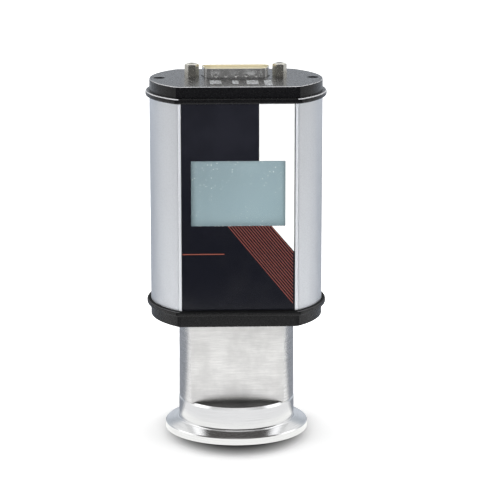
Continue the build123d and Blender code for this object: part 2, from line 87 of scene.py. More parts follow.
class GaugeFinishes(bpy.types.PropertyGroup):
    """Colours of the gauge's surfaces."""

    flange_steel: colour("Flange steel", "Turned stainless steel of the flange", (0.765, 0.768, 0.77))
    sleeve_steel: colour("Sleeve steel", "Brushed stainless steel of the sleeve", (0.79, 0.785, 0.775))
    aluminium: colour("Housing aluminium", "Satin anodised aluminium of the housing", (0.77, 0.792, 0.825))
    cap_plastic: colour("Cap plastic", "Black moulded plastic of both caps", (0.004, 0.004, 0.0045))
    label_black: colour("Label black", "Black ground of the front label", (0.0068, 0.0074, 0.0118))
    label_white: colour("Label white", "White field of the front label", (0.90, 0.90, 0.90))
    stripe_orange: colour("Stripe orange", "Thin slanted stripes of the front label", (0.175, 0.040, 0.028))
    rule_orange: colour("Rule orange", "Thin rule at the label's left", (0.24, 0.058, 0.035))
    display_grey: colour("Display grey", "Blank liquid crystal display", (0.205, 0.285, 0.31))
    board_green: colour("Board green", "Solder mask of the circuit boards", (0.02, 0.13, 0.05))
    gold: colour("Gold", "Gold plating of the plug's pins", (0.85, 0.62, 0.26))
    shell_metal: colour("Plug shell", "Plated steel of the plug's shell", (0.92, 0.92, 0.91))
    shell_inside: colour("Plug shell inside", "Yellow plating of the rim and inside", (0.96, 0.88, 0.62))
    post_metal: colour("Jack posts", "Plated brass of the jack posts", (0.72, 0.70, 0.63))


class GaugeDetails(bpy.types.PropertyGroup):
    """Sizes of the fine pieces and of the surface detail."""

    pin_radius: length("Pin radius", "Radius of a plug pin", 0.5 * MM)
    pin_tip: length("Pin tip", "Height of the pin's rounded tip", 0.45 * MM)
    pin_sides: IntProperty(name="Pin sides", description="Number of sides around a pin", default=14)
    grain_size: length("Cap grain", "Size of the moulded grain on the caps", 1.1 * MM)
    print_height: length("Print height", "Thickness of the print on the cap", 0.03 * MM)
    brush_width: length("Brush line", "Width of a brush line on the sleeve", 0.12 * MM)


class GaugeStudio(bpy.types.PropertyGroup):
    """Camera, lamps and floor."""

    camera_place: position("Camera place", "Where the camera stands", (-0.028206, -0.856732, 0.259572))
    camera_target: position(
        "Camera target", "The point that the camera looks at", (0.005297, 0.000202, 0.069900)
    )
    lens: FloatProperty(
        name="Lens", description="Focal length on a 36 mm sensor", default=164.6, subtype="DISTANCE_CAMERA"
    )
    fill: FloatProperty(
        name="Fill", description="Strength of the room's even light", default=0.24, subtype="FACTOR"
    )
    left_power: watts("Left lamp", "Power of the left soft lamp", 2.5)
    right_power: watts("Right lamp", "Power of the right soft lamp", 2.5)
    strip_power: watts("Strip lamps", "Power of the two lamps for the housing", 1.55)
    top_power: watts("Top lamp", "Power of the overhead soft lamp", 4.2)


# Shader building

def feed(tree, target, value):
    """Gives a socket its value: a link from another socket, or a plain number or colour."""
    if isinstance(value, bpy.types.NodeSocket):
        tree.links.new(value, target)
    else:
        target.default_value = value


def add(tree, kind, values=None, **settings):
    """A new shader node with its settings and the values of its sockets."""
    made = tree.nodes.new("ShaderNode" + kind)
    for setting, value in settings.items():
        setattr(made, setting, value)
    for socket, value in (values or {}).items():
        feed(tree, made.inputs[socket], value)
    return made


def maths(tree, operation, *values):
    return add(tree, "Math", dict(enumerate(values)), operation=operation).outputs[0]


def vector_maths(tree, operation, *values):
    made = add(tree, "VectorMath", dict(enumerate(values)), operation=operation)
    return made.outputs["Value" if operation in ("DOT_PRODUCT", "LENGTH") else "Vector"]


def enlarge(tree, vector, factor):
    return add(tree, "VectorMath", {0: vector, "Scale": factor}, operation="SCALE").outputs[0]


def axes(tree, vector):
    """The X, Y and Z sockets of a vector."""
    return add(tree, "SeparateXYZ", {0: vector}).outputs


def grey(tree, value):
    return add(tree, "CombineColor", {0: value, 1: value, 2: value}).outputs[0]


def ramp(tree, value, low, high, out_low=0.0, out_high=1.0):
    """value from low to high, turned smoothly into out_low to out_high."""
    values = {"Value": value, "From Min": low, "From Max": high, "To Min": out_low, "To Max": out_high}
    return add(tree, "MapRange", values, interpolation_type="SMOOTHSTEP").outputs["Result"]


def spread(tree, value, contrast):
    """Noise around 0.5, spread to a mask from 0 to 1 within contrast on either side."""
    return ramp(tree, value, maths(tree, "SUBTRACT", 0.5, contrast), maths(tree, "ADD", 0.5, contrast))


def blend_colour(tree, mask, first, second):
    """first where the mask is 0 and second where it is 1. Both are colours or sockets."""
    made = add(tree, "Mix", {0: mask}, data_type="RGBA")
    for target, value in ((made.inputs[6], first), (made.inputs[7], second)):
        feed(tree, target, value if isinstance(value, bpy.types.NodeSocket) else (*value, 1.0))
    return made.outputs[2]


def new_group(name, inputs, outputs):
    """An empty shader group. Inputs are (name, type, default) rows and outputs (name, type) rows."""
    group = bpy.data.node_groups.new(name, "ShaderNodeTree")
    for label, kind, default in inputs:
        socket = group.interface.new_socket(name=label, in_out="INPUT", socket_type=kind)
        if default is not None:
            socket.default_value = default
    for label, kind in outputs:
        group.interface.new_socket(name=label, in_out="OUTPUT", socket_type=kind)
    start = group.nodes.new("NodeGroupInput")
    end = group.nodes.new("NodeGroupOutput")
    return group, start.outputs, end.inputs


def noise(tree, vector, **values):
    return add(tree, "TexNoise", {"Vector": vector, "Scale": 1.0, **values}).outputs["Fac"]


FLOAT = "NodeSocketFloat"
VECTOR = "NodeSocketVector"


def build_brush_lines():
    """Fine lines: noise that is stretched by a scale for each axis."""
    group, given, out = new_group(
        "brush_lines",
        [
            ("Place", VECTOR, None),
            ("Lines per metre", VECTOR, (100.0, 100.0, 6000.0)),
            ("Contrast", FLOAT, 0.3),
        ],
        [("Mask", FLOAT)],
    )
    fine_share, wide_share, wide_scale = 0.75, 0.25, 0.23
    stretched = vector_maths(group, "MULTIPLY", given["Place"], given["Lines per metre"])
    fine = noise(group, stretched, Detail=4.0, Roughness=0.6)
    wide = noise(group, enlarge(group, stretched, wide_scale), Detail=2.0)
    fine = maths(group, "MULTIPLY", fine, fine_share)
    wide = maths(group, "MULTIPLY", wide, wide_share)
    both = maths(group, "ADD", fine, wide)
    group.links.new(spread(group, both, given["Contrast"]), out["Mask"])
    return group


def build_turning_rings():
    """Fine rings around the vertical axis, as a lathe leaves them."""
    group, given, out = new_group(
        "turning_rings",
        [("Place", VECTOR, None), ("Rings per metre", FLOAT, 7000.0), ("Contrast", FLOAT, 0.3)],
        [("Mask", FLOAT)],
    )
    waves_per_metre = 60.0
    parts = axes(group, given["Place"])
    flat = add(group, "CombineXYZ", {"X": parts["X"], "Y": parts["Y"]}).outputs[0]
    radius = vector_maths(group, "LENGTH", flat)
    side = axes(group, enlarge(group, flat, waves_per_metre))
    across = maths(group, "MULTIPLY", maths(group, "ADD", radius, parts["Z"]), given["Rings per metre"])
    ring_place = add(group, "CombineXYZ", {"X": across, "Y": side["X"], "Z": side["Y"]}).outputs[0]
    rings = noise(group, ring_place, Detail=3.0, Roughness=0.6)
    group.links.new(spread(group, rings, given["Contrast"]), out["Mask"])
    return group


def build_moulded_grain():
    """Pebbled grain of a moulded surface, and the small light specks on it."""
    group, given, out = new_group(
        "moulded_grain",
        [("Place", VECTOR, None), ("Grains per metre", FLOAT, 3000.0)],
        [("Height", FLOAT), ("Specks", FLOAT)],
    )
    pebble_share, speck_scale = 0.8, 0.62
    grain_place = enlarge(group, given["Place"], given["Grains per metre"])
    pebbles = add(group, "TexVoronoi", {"Vector": grain_place, "Scale": 1.0}, feature="SMOOTH_F1")
    pebbles.inputs["Smoothness"].default_value = 0.6
    pits = maths(group, "MULTIPLY", pebbles.outputs["Distance"], pebble_share)
    height = maths(group, "SUBTRACT", noise(group, grain_place, Scale=1.7, Detail=3.0), pits)
    group.links.new(height, out["Height"])
    points = add(group, "TexVoronoi", {"Vector": grain_place, "Scale": speck_scale})
    near_point = ramp(group, points.outputs["Distance"], 0.30, 0.10)
    few = ramp(group, axes(group, points.outputs["Color"])["X"], 0.62, 0.80)
    group.links.new(maths(group, "MULTIPLY", near_point, few), out["Specks"])
    return group


def build_smudges():
    """Soft, large patches: handling marks and uneven polish."""
    group, given, out = new_group(
        "smudges", [("Place", VECTOR, None), ("Patches per metre", FLOAT, 60.0)], [("Mask", FLOAT)]
    )
    patch_place = enlarge(group, given["Place"], given["Patches per metre"])
    patches = noise(group, patch_place, Detail=5.0, Roughness=0.55)
    group.links.new(ramp(group, patches, 0.35, 0.70), out["Mask"])
    return group


def build_painted_edge_highlight():
    """A mask that is 1 on outer edges, where a painted highlight lightens the finish."""
    group, given, out = new_group("edge_wear", [("Width", FLOAT, 0.0004)], [("Mask", FLOAT)])
    rounded = add(group, "Bevel", {"Radius": given["Width"]}, samples=4).outputs[0]
    flat = add(group, "NewGeometry").outputs["Normal"]
    alike = vector_maths(group, "DOT_PRODUCT", rounded, flat)
    group.links.new(ramp(group, alike, 0.985, 0.86), out["Mask"])
    return group


BUILDERS = {
    "brush_lines": build_brush_lines,
    "turning_rings": build_turning_rings,
    "moulded_grain": build_moulded_grain,
    "smudges": build_smudges,
    "edge_wear": build_painted_edge_highlight,
}
EFFECTS = {}


def effect(tree, name, **values):
    """Places a shared effect in a material. It is built once, then reused."""
    if name not in EFFECTS:
        EFFECTS[name] = BUILDERS[name]()
    made = tree.nodes.new("ShaderNodeGroup")
    made.node_tree = EFFECTS[name]
    for socket, value in values.items():
        feed(tree, made.inputs[socket.replace("_", " ")], value)
    return made.outputs


class Finish:
    """A material with one Principled shader. Plain values are set on the shader's own sockets."""

    def __init__(self, name, base, roughness, metallic=0.0, **sockets):
        self.material = bpy.data.materials.new(name)
        self.material.use_nodes = True
        self.tree = self.material.node_tree
        self.shader = self.tree.nodes["Principled BSDF"]
        self.set("Base Color", (*base, 1.0))
        self.set("Roughness", roughness)
        self.set("Metallic", metallic)
        for socket, value in sockets.items():
            self.set(socket.replace("_", " "), value)
        self.place = add(self.tree, "TexCoord").outputs["Object"]
        self.normal = add(self.tree, "NewGeometry").outputs["Normal"]

    def set(self, socket, value):
        feed(self.tree, self.shader.inputs[socket], value)

    def bump(self, height, depth):
        made = add(self.tree, "Bump", {"Height": height, "Distance": depth, "Strength": 1.0})
        self.set("Normal", made.outputs[0])

    def brushed(self, lines, contrast):
        """Mask of the brush lines, with their number per metre along each axis."""
        return effect(
            self.tree, "brush_lines", Place=self.place, Lines_per_metre=lines, Contrast=contrast
        )["Mask"]

    def grain(self, per_metre):
        return effect(self.tree, "moulded_grain", Place=self.place, Grains_per_metre=per_metre)

    def smudges(self, per_metre):
        return effect(self.tree, "smudges", Place=self.place, Patches_per_metre=per_metre)["Mask"]

    def paint(self, *nodes):
        """Assigns the finish to the slots of CAD nodes or of scene pieces."""
        for one in nodes:
            piece = NODES[one] if isinstance(one, str) else one
            if not piece.data.materials:
                piece.data.materials.append(self.material)
            for i in range(len(piece.data.materials)):
                piece.data.materials[i] = self.material
        return self


def scaled(base, factor):
    """A colour made lighter or darker by a factor."""
    return tuple(min(1.0, c * factor) for c in base)


def turned_metal(name, base, roughness, rings=7000.0, contrast=0.25, depth=0.0015 * MM):
    """Bare metal off the lathe: fine rings in colour, gloss and height."""
    made = Finish(name, base, roughness, 1.0)
    tree = made.tree
    marks = effect(
        tree, "turning_rings", Place=made.place, Rings_per_metre=rings, Contrast=contrast
    )["Mask"]
    haze = maths(tree, "MULTIPLY", made.smudges(90.0), 0.12)
    tone = blend_colour(tree, marks, scaled(base, 0.93), scaled(base, 1.05))
    made.set("Base Color", blend_colour(tree, haze, tone, scaled(base, 0.8)))
    made.set("Roughness", ramp(tree, marks, 0.0, 1.0, roughness * 1.15, roughness * 0.85))
    made.bump(marks, depth)
    return made


def speckled_plastic(name, base, roughness, grains, depth):
    """Moulded plastic with a pebbled grain."""
    made = Finish(name, base, roughness)
    tree = made.tree
    haze = made.smudges(120.0)
    made.set("Base Color", blend_colour(tree, haze, base, scaled(base, 1.5)))
    made.set("Roughness", ramp(tree, haze, 0.0, 1.0, roughness, roughness + 0.08))
    made.bump(made.grain(grains)["Height"], depth)
    return made


# Meshes

def lathe(mesh, centre, rows, sides):
    """Adds a closed turned form to a bmesh. Rows are (radius, height), and a radius of 0 closes an end."""
    rings = []
    for radius, height in rows:
        if radius == 0.0:
            rings.append([mesh.verts.new((centre[0], centre[1], height))])
            continue
        ring = []
        for i in range(sides):
            a = 2.0 * math.pi * i / sides
            x, y = centre[0] + radius * math.cos(a), centre[1] + radius * math.sin(a)
            ring.append(mesh.verts.new((x, y, height)))
        rings.append(ring)
    for below, above in zip(rings, rings[1:]):
        for i in range(sides):
            j = (i + 1) % sides
            if len(below) == 1:
                mesh.faces.new((below[0], above[j], above[i]))
            elif len(above) == 1:
                mesh.faces.new((below[i], below[j], above[0]))
            else:
                mesh.faces.new((below[i], below[j], above[j], above[i]))


def object_from(mesh, name):
    """Turns a bmesh into an object of the scene."""
    data = bpy.data.meshes.new(name)
    mesh.to_mesh(data)
    mesh.free()
    made = bpy.data.objects.new(name, data)
    bpy.context.scene.collection.objects.link(made)
    return made


def piece_from(mesh, name, smooth=True):
    """Turns a bmesh into a piece of the gauge that rides on its body."""
    bmesh.ops.recalc_face_normals(mesh, faces=mesh.faces)
    made = object_from(mesh, name)
    if smooth:
        made.data.shade_smooth()
        made.data.set_sharp_from_angle(angle=SMOOTH_ANGLE)
    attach(made, "root")
    return made


def aim(one, start, target):
    """Stands an object at start and turns it to look at target."""
    one.location = start
    one.rotation_mode = "QUATERNION"
    one.rotation_quaternion = (Vector(target) - Vector(start)).to_track_quat("-Z", "Y")


# Operators

def finishes():
    return bpy.context.scene.gauge_finishes


def details():
    return bpy.context.scene.gauge_details


class GAUGE_OT_studio(bpy.types.Operator):
    """Sets the camera, the lamps, the floor and the room's light"""

    bl_idname = "gauge.studio"
    bl_label = "Studio"

    def execute(self, context):
        scene = context.scene
        studio = scene.gauge_studio
        scene.view_settings.view_transform = "Standard"
        self.camera(scene, studio)
        self.room(scene, studio)
        self.floor()
        for name, start, target, size, setting in self.LAMPS:
            self.lamp(name, start, target, size, getattr(studio, setting)).visible_glossy = False
        housing = bpy.data.collections.new("housing_only")
        housing.objects.link(NODES["housing_extrusion"])
        for name, start, target, size, setting in self.STRIPS:
            strip = self.lamp(name, start, target, size, getattr(studio, setting))
            strip.light_linking.receiver_collection = housing
        for row in self.CARDS:
            self.card(*row)
        return {"FINISHED"}

    # Name, place, target and size in metres, and the setting with the lamp's power.
    # No reflection shows these three lamps.
    LAMPS = (
        ("left_lamp", (-0.27, -0.74, 0.24), (0.0, 0.0, 0.08), (0.45, 0.24), "left_power"),
        ("right_lamp", (0.14, -0.76, 0.24), (0.0, 0.0, 0.08), (0.45, 0.24), "right_power"),
        ("top_lamp", (0.0, 0.08, 0.85), (0.0, 0.0, 0.0), (0.35, 0.35), "top_power"),
    )
    # The same for the two lamps that light the housing alone
    STRIPS = (
        ("left_strip", (-0.30, -0.80, 0.10), (0.0, 0.0, 0.09), (0.3, 0.3), "strip_power"),
        ("right_strip", (0.30, -0.80, 0.10), (0.0, 0.0, 0.09), (0.3, 0.3), "strip_power"),
    )
    # Name, middle and half width in degrees from the front, inner and outer radius, height of the
    # inner and outer edge, fade at the ends in degrees, fade at the inner and outer edge, tone.
    # Lengths are in metres.
    CARDS = (
        ("table_front_edge", 0, 150, 0.0276, 0.043, 0.0002, 0.0004, 14, 0.0, (1.16, 1.16, 1.14)),
        ("table_front_mid", 0, 114, 0.041, 0.20, 0.0003, 0.0006, 14, 0.0, (0.99, 0.99, 1.0)),
        ("table_front_bright", 0, 44, 0.07, 0.225, 0.0012, 0.0012, 10, 0.02, (1.46, 1.46, 1.45)),
        ("table_front_near", 0, 68, 0.20, 1.30, 0.0012, 0.0012, 6, 0.0, (0.02, 0.02, 0.02)),
        ("table_front_far", 0, 68, 0.58, 0.91, 0.002, 0.002, 6, 0.10, (0.72, 0.72, 0.86)),
        ("room_front", 0, 84, 1.30, 1.30, 0.0, 0.62, 8, 0.0, (0.05, 0.05, 0.05)),
        ("room_front_high", 0, 84, 1.30, 1.30, 0.62, 2.2, 8, 0.0, (0.12, 0.115, 0.11)),
        ("left_panel", -102, 19, 0.90, 0.90, 0.42, 1.6, 12, 0.0, (1.9, 1.9, 1.9)),
        ("right_panel", 102, 19, 0.90, 0.90, 0.42, 1.6, 12, 0.0, (1.8, 1.8, 1.82)),
        ("table_sides", 180, 80, 0.03, 0.21, 0.001, 0.001, 16, 0.0, (0.30, 0.32, 0.36)),
        ("table_back", 180, 72, 0.21, 0.75, 0.002, 0.002, 34, 0.0, (0.31, 0.35, 0.41)),
        ("room_back_low", 180, 70, 0.75, 0.75, 0.0, 0.22, 34, 0.0, (0.66, 0.70, 0.76)),
        ("room_back", 180, 70, 0.75, 0.75, 0.22, 0.36, 34, 0.0, (0.45, 0.49, 0.54)),
    )

    @staticmethod
    def card(name, middle, half, inner, outer, low, high, fade, soft, tone):
        """A bent grey card with soft ends that only shiny surfaces see."""
        mesh = bmesh.new()
        rows = []
        for i in range(CARD_STEPS + 1):
            a = math.radians(middle - half + 2.0 * half * i / CARD_STEPS)
            edges = ((inner, low), (outer, high))
            rows.append([mesh.verts.new((r * math.sin(a), -r * math.cos(a), z)) for r, z in edges])
        for one, two in zip(rows, rows[1:]):
            mesh.faces.new((one[0], one[1], two[1], two[0]))
        card = object_from(mesh, name)
        card.visible_camera = False
        card.visible_diffuse = False
        card.visible_shadow = False
        paper = Finish(name, (0.0, 0.0, 0.0), 1.0)
        paper.set("Specular IOR Level", 0.0)
        paper.set("Emission Color", (*tone, 1.0))
        paper.set("Emission Strength", 1.0)
        tree = paper.tree
        a = math.radians(middle)
        ahead = vector_maths(tree, "DOT_PRODUCT", paper.place, (math.sin(a), -math.cos(a), 0.0))
        across = vector_maths(tree, "DOT_PRODUCT", paper.place, (math.cos(a), math.sin(a), 0.0))
        turn = maths(tree, "ABSOLUTE", maths(tree, "ARCTAN2", across, ahead))
        shown = ramp(tree, turn, math.radians(half), math.radians(half - fade))
        if soft:
            level = vector_maths(tree, "MULTIPLY", paper.place, (1.0, 1.0, 0.0))
            radius = vector_maths(tree, "LENGTH", level)
            shown = maths(tree, "MULTIPLY", shown, ramp(tree, radius, inner, inner + soft))
            shown = maths(tree, "MULTIPLY", shown, ramp(tree, radius, outer, outer - soft))
        paper.set("Alpha", shown)
        card.data.materials.append(paper.material)

    @staticmethod
    def camera(scene, studio):
        data = bpy.data.cameras.new("photo_camera")
        camera = bpy.data.objects.new("photo_camera", data)
        scene.collection.objects.link(camera)
        aim(camera, studio.camera_place, studio.camera_target)
        data.lens = studio.lens
        data.sensor_width = SENSOR_WIDTH
        data.clip_start = 0.05
        data.clip_end = 30.0
        scene.camera = camera

    @staticmethod
    def room(scene, studio):
        """An even room that looks white to the camera, in gloss and through glass."""
        world = bpy.data.worlds.new("studio_room")
        scene.world = world
        world.use_nodes = True
        tree = world.node_tree
        rays = add(tree, "LightPath").outputs
        looked_at = maths(tree, "MAXIMUM", rays["Is Camera Ray"], rays["Is Glossy Ray"])
        seen = maths(tree, "MAXIMUM", looked_at, rays["Is Transmission Ray"])
        strength = add(tree, "MapRange", {"Value": seen, "To Min": studio.fill, "To Max": 1.0}).outputs[0]
        background = tree.nodes["Background"]
        background.inputs["Color"].default_value = (1.0, 1.0, 1.0, 1.0)
        tree.links.new(strength, background.inputs["Strength"])

    @staticmethod
    def floor():
        """White paper that glows away from the foot, so that only the shadow near the foot is left, and a
        contact shadow is painted into its colour there.
        """
        mesh = bmesh.new()
        bmesh.ops.create_grid(mesh, x_segments=1, y_segments=1, size=FLOOR_SIZE)
        floor = object_from(mesh, "studio_floor")
        floor.location = (0.0, 0.0, -FLOOR_DROP)
        paper = Finish("floor_paper", (0.93, 0.93, 0.93), 0.9)
        tree = paper.tree
        shadow_centre_y, half_wide, half_deep = -0.005, 0.0275, 0.0375
        distance = vector_maths(tree, "LENGTH", paper.place)
        shifted = vector_maths(tree, "ADD", paper.place, (0.0, -shadow_centre_y, 0.0))
        shrunk = vector_maths(tree, "MULTIPLY", shifted, (1.0 / half_wide, 1.0 / half_deep, 0.0))
        oval = vector_maths(tree, "LENGTH", shrunk)
        near = ramp(tree, oval, 0.80, 1.12, 0.0, 0.32)
        far = ramp(tree, distance, 0.06, 0.14, 0.0, 0.8)
        rays = add(tree, "LightPath").outputs
        in_gloss = maths(tree, "MULTIPLY", rays["Is Glossy Ray"], 0.2)
        seen = maths(tree, "MAXIMUM", rays["Is Camera Ray"], in_gloss)
        glow = maths(tree, "MULTIPLY", maths(tree, "ADD", near, far), seen)
        # Painted contact shadow: the paper's colour darkens in an oval around the flange's foot, reaching
        # further in front
        painted_contact_shadow = ramp(tree, oval, 0.58, 1.06, 0.07, 0.93)
        paper.set("Base Color", grey(tree, painted_contact_shadow))
        paper.set("Emission Color", grey(tree, glow))
        paper.set("Emission Strength", 1.0)
        paper.set("Specular IOR Level", 0.0)
        floor.data.materials.append(paper.material)

    @staticmethod
    def lamp(name, start, target, size, power):
        data = bpy.data.lights.new(name, "AREA")
        data.shape = "RECTANGLE"
        data.size, data.size_y = size
        data.energy = power
        lamp = bpy.data.objects.new(name, data)
        bpy.context.scene.collection.objects.link(lamp)
        aim(lamp, start, target)
        return lamp


class GAUGE_OT_flange(bpy.types.Operator):
    """Finishes the flange and the screen in its port"""

    bl_idname = "gauge.flange"
    bl_label = "Flange"

    def execute(self, context):
        steel = finishes().flange_steel
        body = turned_metal("turned_flange_steel", steel, 0.18, 9000.0, 0.22, 0.0008 * MM)
        body.paint("flange_body")
        turned_metal("screen_steel", scaled(steel, 0.9), 0.35).paint("port_screen")
        return {"FINISHED"}


class GAUGE_OT_sleeve(bpy.types.Operator):
    """Finishes the sensor sleeve: brushed flats and turned sides"""

    bl_idname = "gauge.sleeve"
    bl_label = "Sensor sleeve"

    def execute(self, context):
        steel = finishes().sleeve_steel
        made = Finish("brushed_sleeve_steel", steel, 0.34, 1.0)
        tree = made.tree
        lines = 1.0 / details().brush_width
        long_marks = made.brushed((210.0, 210.0, lines), 0.22)
        short_marks = made.brushed((900.0, 900.0, 1.6 * lines), 0.12)
        facing = maths(tree, "ABSOLUTE", axes(tree, made.normal)["Y"])
        flat = ramp(tree, facing, 0.97, 0.995)
        tone = blend_colour(tree, long_marks, scaled(steel, 0.84), scaled(steel, 1.16))
        tone = blend_colour(tree, maths(tree, "MULTIPLY", short_marks, 0.16), tone, scaled(steel, 0.70))
        patch = maths(tree, "MULTIPLY", maths(tree, "MULTIPLY", made.smudges(110.0), flat), 0.8)
        made.set("Base Color", blend_colour(tree, patch, tone, scaled(steel, 0.78)))
        made.set("Roughness", ramp(tree, flat, 0.0, 1.0, 0.22, 0.32))
        made.bump(long_marks, 0.002 * MM)
        made.paint("sensor_sleeve")
        return {"FINISHED"}


class GAUGE_OT_sensor(bpy.types.Operator):
    """Finishes the sensor inside the sleeve: header, glass beads, pins, wire and reference element"""

    bl_idname = "gauge.sensor"
    bl_label = "Sensor"

    def execute(self, context):
        steel = finishes().flange_steel
        turned_metal("header_plate_steel", scaled(steel, 0.95), 0.3).paint("sensor_header")
        glass = Finish("bead_glass_green", (0.35, 0.62, 0.52), 0.08, IOR=1.5)
        glass.set("Transmission Weight", 0.8)
        glass.paint("header_glass_beads")
        turned_metal("pin_gold", finishes().gold, 0.25).paint("header_pins", "filament_support")
        turned_metal("wire_tungsten", (0.32, 0.31, 0.30), 0.4).paint("filament")
        ceramic = speckled_plastic("element_ceramic", (0.80, 0.78, 0.72), 0.55, 9000.0, 0.01 * MM)
        ceramic.paint("reference_element")
        return {"FINISHED"}


class GAUGE_OT_housing(bpy.types.Operator):
    """Finishes the extruded aluminium housing"""

    bl_idname = "gauge.housing"
    bl_label = "Housing"

    def execute(self, context):
        base = finishes().aluminium
        made = Finish("anodised_aluminium", base, 0.42, 1.0)
        tree = made.tree
        highlight_tone, groove_shade_tone = (0.86, 0.87, 0.89), (0.035, 0.035, 0.04)
        draw_lines = made.brushed((2500.0, 2500.0, 12.0), 0.35)
        haze = maths(tree, "MULTIPLY", made.smudges(40.0), 0.10)
        # Painted highlight: a lighter tone along the housing's outer edges and lips
        edge_highlight = maths(tree, "MULTIPLY", effect(tree, "edge_wear", Width=0.3 * MM)["Mask"], 0.6)
        speckle = ramp(tree, made.grain(2600.0)["Height"], -0.1, 0.3)
        tone = blend_colour(tree, draw_lines, scaled(base, 0.985), scaled(base, 1.012))
        tone = blend_colour(tree, haze, tone, scaled(base, 0.9))
        tone = blend_colour(tree, edge_highlight, tone, highlight_tone)
        tone = blend_colour(tree, speckle, scaled(base, 0.93), tone)
        place = axes(tree, made.place)
        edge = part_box("front_label")[1].x
        # Painted shade: the aluminium turns near black in the narrow grooves beside the label's sides
        groove_shade = ramp(tree, maths(tree, "ABSOLUTE", place["X"]), edge + 0.45 * MM, edge + 0.25 * MM)
        groove_shade = maths(tree, "MULTIPLY", groove_shade, ramp(tree, place["Y"], -20.0 * MM, -21.0 * MM))
        made.set("Base Color", blend_colour(tree, groove_shade, tone, groove_shade_tone))
        made.set("Roughness", ramp(tree, draw_lines, 0.0, 1.0, 0.46, 0.39))
        made.bump(made.grain(9000.0)["Height"], 0.004 * MM)
        made.paint("housing_extrusion")
        return {"FINISHED"}


class GAUGE_OT_label(bpy.types.Operator):
    """Finishes the front label and its printed fields"""

    bl_idname = "gauge.label"
    bl_label = "Front label"

    def execute(self, context):
        palette = finishes()
        rows = (
            ("label_film_black", palette.label_black, 0.13, ("front_label",)),
            ("label_ink_white", palette.label_white, 0.40, ("label_white_field",)),
            ("label_ink_stripes", palette.stripe_orange, 0.38, ("label_stripes",)),
            ("label_ink_rule", palette.rule_orange, 0.38, ("label_rule",)),
        )
        for name, base, roughness, nodes in rows:
            made = Finish(name, base, roughness, IOR=1.42)
            tree = made.tree
            haze = made.smudges(70.0)
            made.set("Base Color", blend_colour(tree, haze, base, scaled(base, 0.9)))
            made.set("Roughness", ramp(tree, haze, 0.0, 1.0, roughness, roughness + 0.08))
            made.bump(made.grain(12000.0)["Height"], 0.002 * MM)
            made.paint(*nodes)
        return {"FINISHED"}


class GAUGE_OT_display(bpy.types.Operator):
    """Finishes the display: window, panel and frame"""

    bl_idname = "gauge.display"
    bl_label = "Display"

    def execute(self, context):
        base = finishes().display_grey
        panel = Finish("display_glass_grey", base, 0.35)
        tree = panel.tree
        slope, dust_tone = 1.4, (0.75, 0.82, 0.82)
        haze = panel.smudges(45.0)
        dust = panel.grain(2300.0)["Specks"]
        place = axes(tree, panel.place)
        slant = maths(tree, "SUBTRACT", place["X"], maths(tree, "MULTIPLY", place["Z"], slope))
        # Painted light: the panel lighter from its upper left towards its lower right
        painted_light_slant = ramp(tree, slant, -0.170, -0.100)
        dusty_corner = ramp(tree, slant, -0.120, -0.165, 0.0, 0.7)
        dusty = maths(tree, "ADD", ramp(tree, panel.smudges(110.0), 0.3, 0.8), dusty_corner)
        specks = maths(tree, "MULTIPLY", dust, ramp(tree, dusty, 0.45, 1.1))
        tone = blend_colour(tree, painted_light_slant, scaled(base, 0.88), scaled(base, 1.2))
        tone = blend_colour(tree, maths(tree, "MULTIPLY", haze, 0.25), tone, scaled(base, 1.12))
        tone = blend_colour(tree, maths(tree, "MULTIPLY", specks, 0.9), tone, dust_tone)
        panel.set("Base Color", tone)
        panel.set("Roughness", ramp(tree, haze, 0.0, 1.0, 0.32, 0.4))
        panel.paint("lcd_panel")
        frame_plastic = speckled_plastic(
            "frame_plastic_black", (0.015, 0.015, 0.016), 0.5, 6000.0, 0.008 * MM
        )
        frame_plastic.paint("lcd_frame")
        self.window()
        return {"FINISHED"}

    @staticmethod
    def window():
        """Clear pane that lets lamp light through to the panel behind it."""
        pane = Finish("window_clear_pane", (1.0, 1.0, 1.0), 0.04, IOR=1.45)
        tree = pane.tree
        pane.set("Transmission Weight", 1.0)
        pane.set("Base Color", blend_colour(tree, pane.smudges(60.0), (1.0, 1.0, 1.0), (0.97, 0.98, 0.98)))
        rays = add(tree, "LightPath").outputs
        clear = add(tree, "BsdfTransparent", {"Color": (1.0, 1.0, 1.0, 1.0)})
        passing = maths(tree, "MAXIMUM", rays["Is Shadow Ray"], rays["Is Diffuse Ray"])
        mixed = add(tree, "MixShader", {0: passing})
        tree.links.new(pane.shader.outputs[0], mixed.inputs[1])
        tree.links.new(clear.outputs[0], mixed.inputs[2])
        tree.links.new(mixed.outputs[0], tree.nodes["Material Output"].inputs["Surface"])
        pane.paint("display_window")


